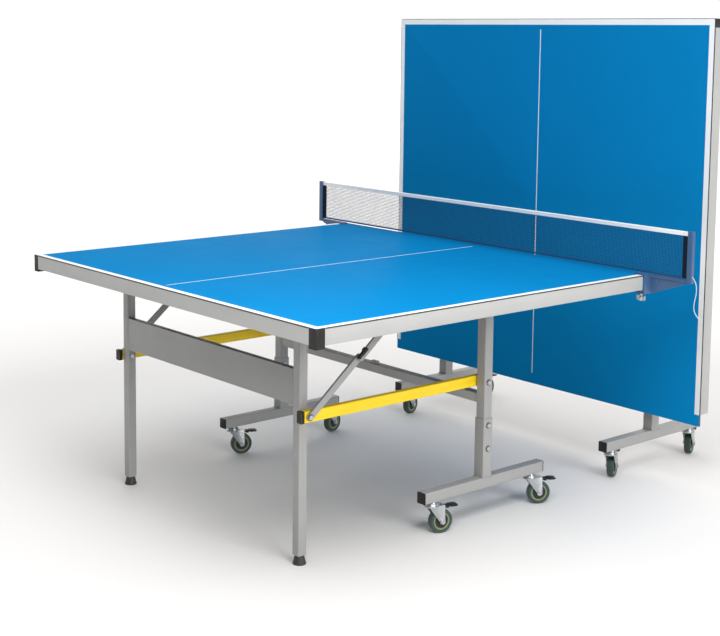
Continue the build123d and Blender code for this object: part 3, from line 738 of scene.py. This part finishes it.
def make_cord():
    """The loose end of the net's tension cord, hanging from the right post to its knot."""
    curve = bpy.data.curves.new("net_cord_tail", "CURVE")
    curve.dimensions = "3D"
    curve.bevel_depth = CORD_D / 2
    curve.bevel_resolution = 5
    curve.resolution_u = 24
    curve.use_fill_caps = True
    spline = curve.splines.new("NURBS")
    spline.points.add(len(CORD_ROUTE) - 1)
    for point, (x, y, z) in zip(spline.points, CORD_ROUTE):
        point.co = (x, y + NET_EDGE_Y, z, 1)
    spline.order_u = 3
    spline.use_endpoint_u = True
    cord = bpy.data.objects.new("net_cord_tail", curve)
    bpy.context.scene.collection.objects.link(cord)
    finish_piece(cord, MATERIALS["cord_white"], "near_top")
    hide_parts("net_cord")

    tip = Vector(CORD_ROUTE[-1]) + Vector((0, NET_EDGE_Y, 0))
    run = (Vector(CORD_ROUTE[-1]) - Vector(CORD_ROUTE[-2])).normalized()
    side = run.cross(Vector((0, 1, 0))).normalized()
    points = []
    for step in range(KNOT_STEPS + 1):
        angle = 2 * pi * KNOT_TURNS * step / KNOT_STEPS
        along = KNOT_START + KNOT_LENGTH * step / KNOT_STEPS
        ring = side * cos(angle) + Vector((0, 1, 0)) * sin(angle)
        points.append(tip + run * along + ring * COIL_R)
    core = knot_shape(tip + run * CORE_AT, CORE_R)
    knot = joined("net_cord_end_knot", [thread_shape(points, STRAND_R, run), core])
    finish_piece(knot, MATERIALS["cord_white"], "near_top", 80)
    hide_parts("net_cord_knot")


# ---------------------------------------------------------------- studio

# Brightness of the studio round the table: a white wall behind it, a dim side in front
WALL_FACING = (-0.756, 0.654, 0)
WALL, FRONT, CEILING = 1.04, 0.08, 0.55


def make_world():
    world = bpy.data.worlds.new("studio")
    bpy.context.scene.world = world
    world.use_nodes = True
    tree = world.node_tree
    background = tree.nodes["Background"]
    direction = tree.nodes.new("ShaderNodeTexCoord").outputs["Generated"]

    def ramp(value, span, levels):
        node = tree.nodes.new("ShaderNodeMapRange")
        numbers = dict(zip(("From Min", "From Max", "To Min", "To Max"), (*span, *levels)))
        for socket, number in numbers.items():
            node.inputs[socket].default_value = number
        tree.links.new(value, node.inputs["Value"])
        return node.outputs["Result"]

    facing = tree.nodes.new("ShaderNodeVectorMath")
    facing.operation = "DOT_PRODUCT"
    facing.inputs[1].default_value = WALL_FACING
    tree.links.new(direction, facing.inputs[0])
    height = tree.nodes.new("ShaderNodeSeparateXYZ")
    tree.links.new(direction, height.inputs["Vector"])
    brighter = tree.nodes.new("ShaderNodeMath")
    brighter.operation = "MAXIMUM"
    tree.links.new(ramp(facing.outputs["Value"], (-0.25, 0.5), (FRONT, WALL)), brighter.inputs[0])
    tree.links.new(ramp(height.outputs["Z"], (0.25, 0.8), (0, CEILING)), brighter.inputs[1])
    tree.links.new(brighter.outputs["Value"], background.inputs["Strength"])
    background.inputs["Color"].default_value = (1, 1, 1, 1)


def add_sun(name, energy, angle, turn):
    data = bpy.data.lights.new(name, "SUN")
    data.energy, data.angle = energy, radians(angle)
    sun = bpy.data.objects.new(name, data)
    sun.rotation_euler = [radians(value) for value in turn]
    bpy.context.scene.collection.objects.link(sun)


def add_softbox(name, power, size, place, target):
    data = bpy.data.lights.new(name, "AREA")
    data.energy, data.size = power, size
    box = bpy.data.objects.new(name, data)
    aim = Vector(target) - Vector(place)
    box.matrix_world = Matrix.Translation(place) @ aim.to_track_quat("-Z", "Y").to_matrix().to_4x4()
    bpy.context.scene.collection.objects.link(box)


def make_studio():
    make_world()
    bpy.context.scene.view_settings.view_transform = "Standard"
    mesh = bmesh.new()
    bmesh.ops.create_circle(mesh, cap_ends=True, segments=96, radius=60)
    floor = from_bmesh("floor", mesh)
    # Painted light: the floor glows, with none within 2 m of the middle, rising to 0.32 from 5 m out, so the far
    # floor turns white
    look = Shader("floor_pale_glowing", (0.80, 0.79, 0.78), 0.7, Emission_Color=(1, 1, 1, 1))
    look.tint(look.noise(0.8, 2), (0.78, 0.77, 0.76), 0.5)
    distance = look.add("ShaderNodeVectorMath", operation="LENGTH")
    look.tree.links.new(look.coords, distance.inputs[0])
    look.link(look.spread(distance.outputs["Value"], 0.0, 0.32, 2.0, 5.0), look.bsdf, "Emission Strength")
    floor.data.materials.append(look.material)
    add_sun("overhead", 1.1, 60, (4, 14, 0))
    add_sun("right_side", 1.7, 30, (2, 70, 0))
    add_softbox("front_right", 25, 1.0, (1.5, -1.25, 2.1), (0.8, -0.6, 0.76))


CAMERA_PLACE = (3.4816, -3.1970, 1.5064)
CAMERA_AZIMUTH, CAMERA_ELEVATION, CAMERA_ROLL = 49.16, 6.61, 0.66
CAMERA_LENS = 69.46
CAMERA_SHIFT = (-0.0087, -0.1684)


def make_camera():
    data = bpy.data.cameras.new("camera")
    data.lens = CAMERA_LENS
    data.sensor_width = 36
    data.shift_x, data.shift_y = CAMERA_SHIFT
    data.clip_end = 200
    camera = bpy.data.objects.new("camera", data)
    azimuth, elevation = radians(CAMERA_AZIMUTH), radians(CAMERA_ELEVATION)
    look = Vector((-sin(azimuth) * cos(elevation), cos(azimuth) * cos(elevation), -sin(elevation)))
    turn = look.to_track_quat("-Z", "Y").to_matrix().to_4x4()
    roll = Matrix.Rotation(radians(CAMERA_ROLL), 4, "Z")
    camera.matrix_world = Matrix.Translation(CAMERA_PLACE) @ turn @ roll
    bpy.context.scene.collection.objects.link(camera)
    bpy.context.scene.camera = camera


dress_cad_nodes()
for half_name, half_place in HALVES:
    make_lines(half_name, half_place)
    make_painted_gap_shade(half_name, half_place)
    make_bar_caps(half_name)
    make_weld_beads(half_name)
    make_washers(half_name)
for joint_name in JOINTS:
    if joint_name.endswith("_wheel_spin"):
        make_wheel(joint_name.removesuffix("_wheel_spin"))
        make_swivel_head(joint_name.removesuffix("_wheel_spin"))
make_net()
make_post_caps()
make_cord()
make_studio()
make_camera()
